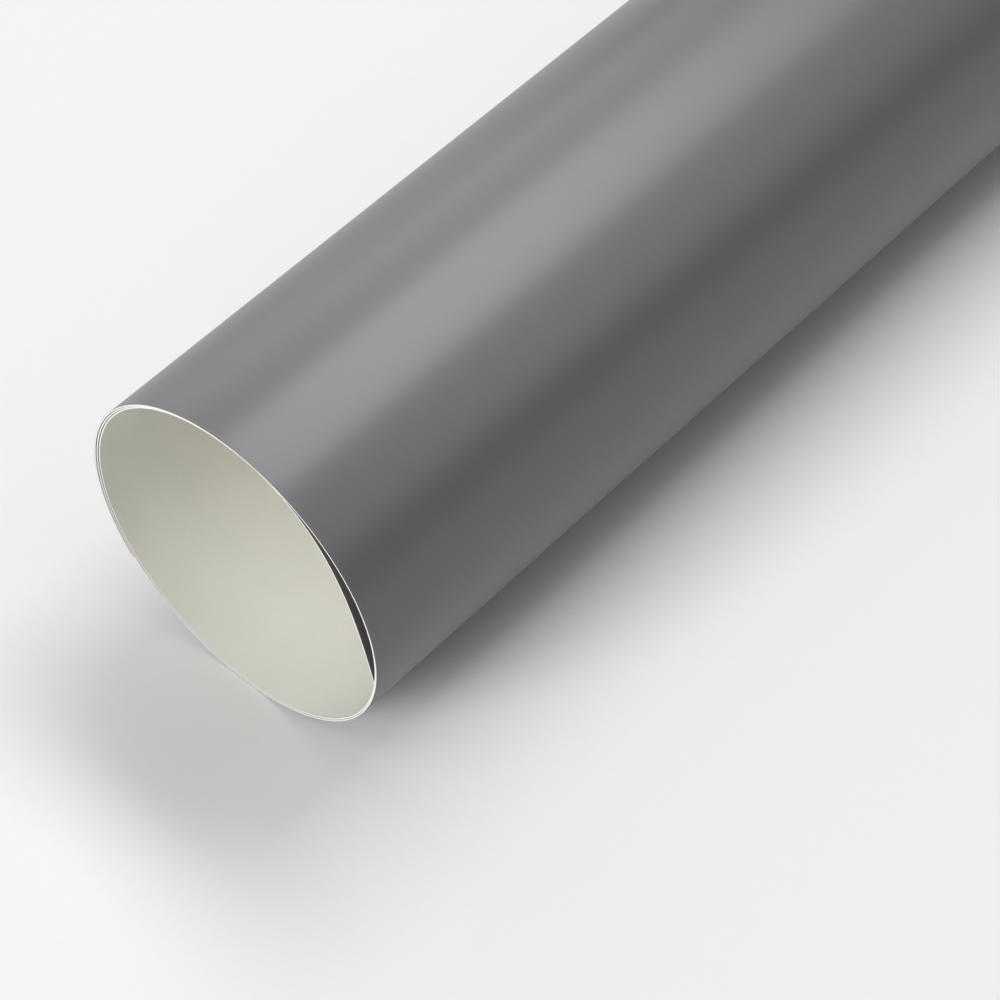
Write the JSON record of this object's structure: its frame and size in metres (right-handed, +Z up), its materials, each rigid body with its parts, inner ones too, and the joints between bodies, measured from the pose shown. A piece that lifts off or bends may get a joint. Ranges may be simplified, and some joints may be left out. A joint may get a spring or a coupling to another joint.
{
  "type": "backdrop paper roll",
  "caption": "Loosely rolled sheet of coated backdrop paper, grey outside and ivory inside, whose outer turn unrolls.",
  "frame": {"origin": "on the floor under the middle of the roll", "axes": "+X along the roll's axis, +Z up, the outer tail edge on the +Y side"},
  "size_m": [0.7, 0.124, 0.1231],
  "materials": {
    "face_coat": "satin",
    "base_paper": "matte",
    "back_coat": "matte"
  },
  "bodies": {
    "roll": {"floor_strip_face_coat": "face_coat", "floor_strip_base_paper": "base_paper", "floor_strip_back_coat": "back_coat", "inner_turns_face_coat": "face_coat", "inner_turns_base_paper": "base_paper", "inner_turns_back_coat": "back_coat"},
    "strip_1": {"outer_turn_01_face_coat": "face_coat", "outer_turn_01_base_paper": "base_paper", "outer_turn_01_back_coat": "back_coat", "outer_turn_02_face_coat": "face_coat", "outer_turn_02_base_paper": "base_paper", "outer_turn_02_back_coat": "back_coat"},
    "strip_2": {"outer_turn_03_face_coat": "face_coat", "outer_turn_03_base_paper": "base_paper", "outer_turn_03_back_coat": "back_coat", "outer_turn_04_face_coat": "face_coat", "outer_turn_04_base_paper": "base_paper", "outer_turn_04_back_coat": "back_coat"},
    "strip_3": {"outer_turn_05_face_coat": "face_coat", "outer_turn_05_base_paper": "base_paper", "outer_turn_05_back_coat": "back_coat", "outer_turn_06_face_coat": "face_coat", "outer_turn_06_base_paper": "base_paper", "outer_turn_06_back_coat": "back_coat"},
    "strip_4": {"outer_turn_07_face_coat": "face_coat", "outer_turn_07_base_paper": "base_paper", "outer_turn_07_back_coat": "back_coat", "outer_turn_08_face_coat": "face_coat", "outer_turn_08_base_paper": "base_paper", "outer_turn_08_back_coat": "back_coat"},
    "strip_5": {"outer_turn_09_face_coat": "face_coat", "outer_turn_09_base_paper": "base_paper", "outer_turn_09_back_coat": "back_coat", "outer_turn_10_face_coat": "face_coat", "outer_turn_10_base_paper": "base_paper", "outer_turn_10_back_coat": "back_coat"},
    "strip_6": {"outer_turn_11_face_coat": "face_coat", "outer_turn_11_base_paper": "base_paper", "outer_turn_11_back_coat": "back_coat", "outer_turn_12_face_coat": "face_coat", "outer_turn_12_base_paper": "base_paper", "outer_turn_12_back_coat": "back_coat"},
    "inner_edge": {"inner_edge_face_coat": "face_coat", "inner_edge_base_paper": "base_paper", "inner_edge_back_coat": "back_coat"}
  },
  "joints": [
    {"name": "unroll", "type": "hinge", "parent": "roll", "child": "strip_6", "pos_m": [0, -0.00822, 0], "axis": [1, 0, 0], "range_deg": [0, 32.5]},
    {"name": "unroll_5", "type": "hinge", "parent": "strip_6", "child": "strip_5", "pos_m": [0, -0.0523, 0.02791], "axis": [1, 0, 0], "range_deg": [0, 50]},
    {"name": "unroll_4", "type": "hinge", "parent": "strip_5", "child": "strip_4", "pos_m": [0, -0.0592, 0.07973], "axis": [1, 0, 0], "range_deg": [0, 50]},
    {"name": "unroll_3", "type": "hinge", "parent": "strip_4", "child": "strip_3", "pos_m": [0, -0.02389, 0.11838], "axis": [1, 0, 0], "range_deg": [0, 50]},
    {"name": "unroll_2", "type": "hinge", "parent": "strip_3", "child": "strip_2", "pos_m": [0, 0.02849, 0.11617], "axis": [1, 0, 0], "range_deg": [0, 50]},
    {"name": "unroll_1", "type": "hinge", "parent": "strip_2", "child": "strip_1", "pos_m": [0, 0.06054, 0.07458], "axis": [1, 0, 0], "range_deg": [0, 50]},
    {"name": "inner_edge_flex", "type": "hinge", "parent": "roll", "child": "inner_edge", "pos_m": [0, -0.01314, 0.11959], "axis": [1, 0, 0], "range_deg": [0, 15], "stiffness_Nm_per_rad": 0.05, "springref_deg": -17.19}
  ],
  "couplings": [
    {"joint": "unroll_5", "follows": "unroll", "ratio": 1.5385},
    {"joint": "unroll_4", "follows": "unroll", "ratio": 1.5385},
    {"joint": "unroll_3", "follows": "unroll", "ratio": 1.5385},
    {"joint": "unroll_2", "follows": "unroll", "ratio": 1.5385},
    {"joint": "unroll_1", "follows": "unroll", "ratio": 1.5385}
  ]
}
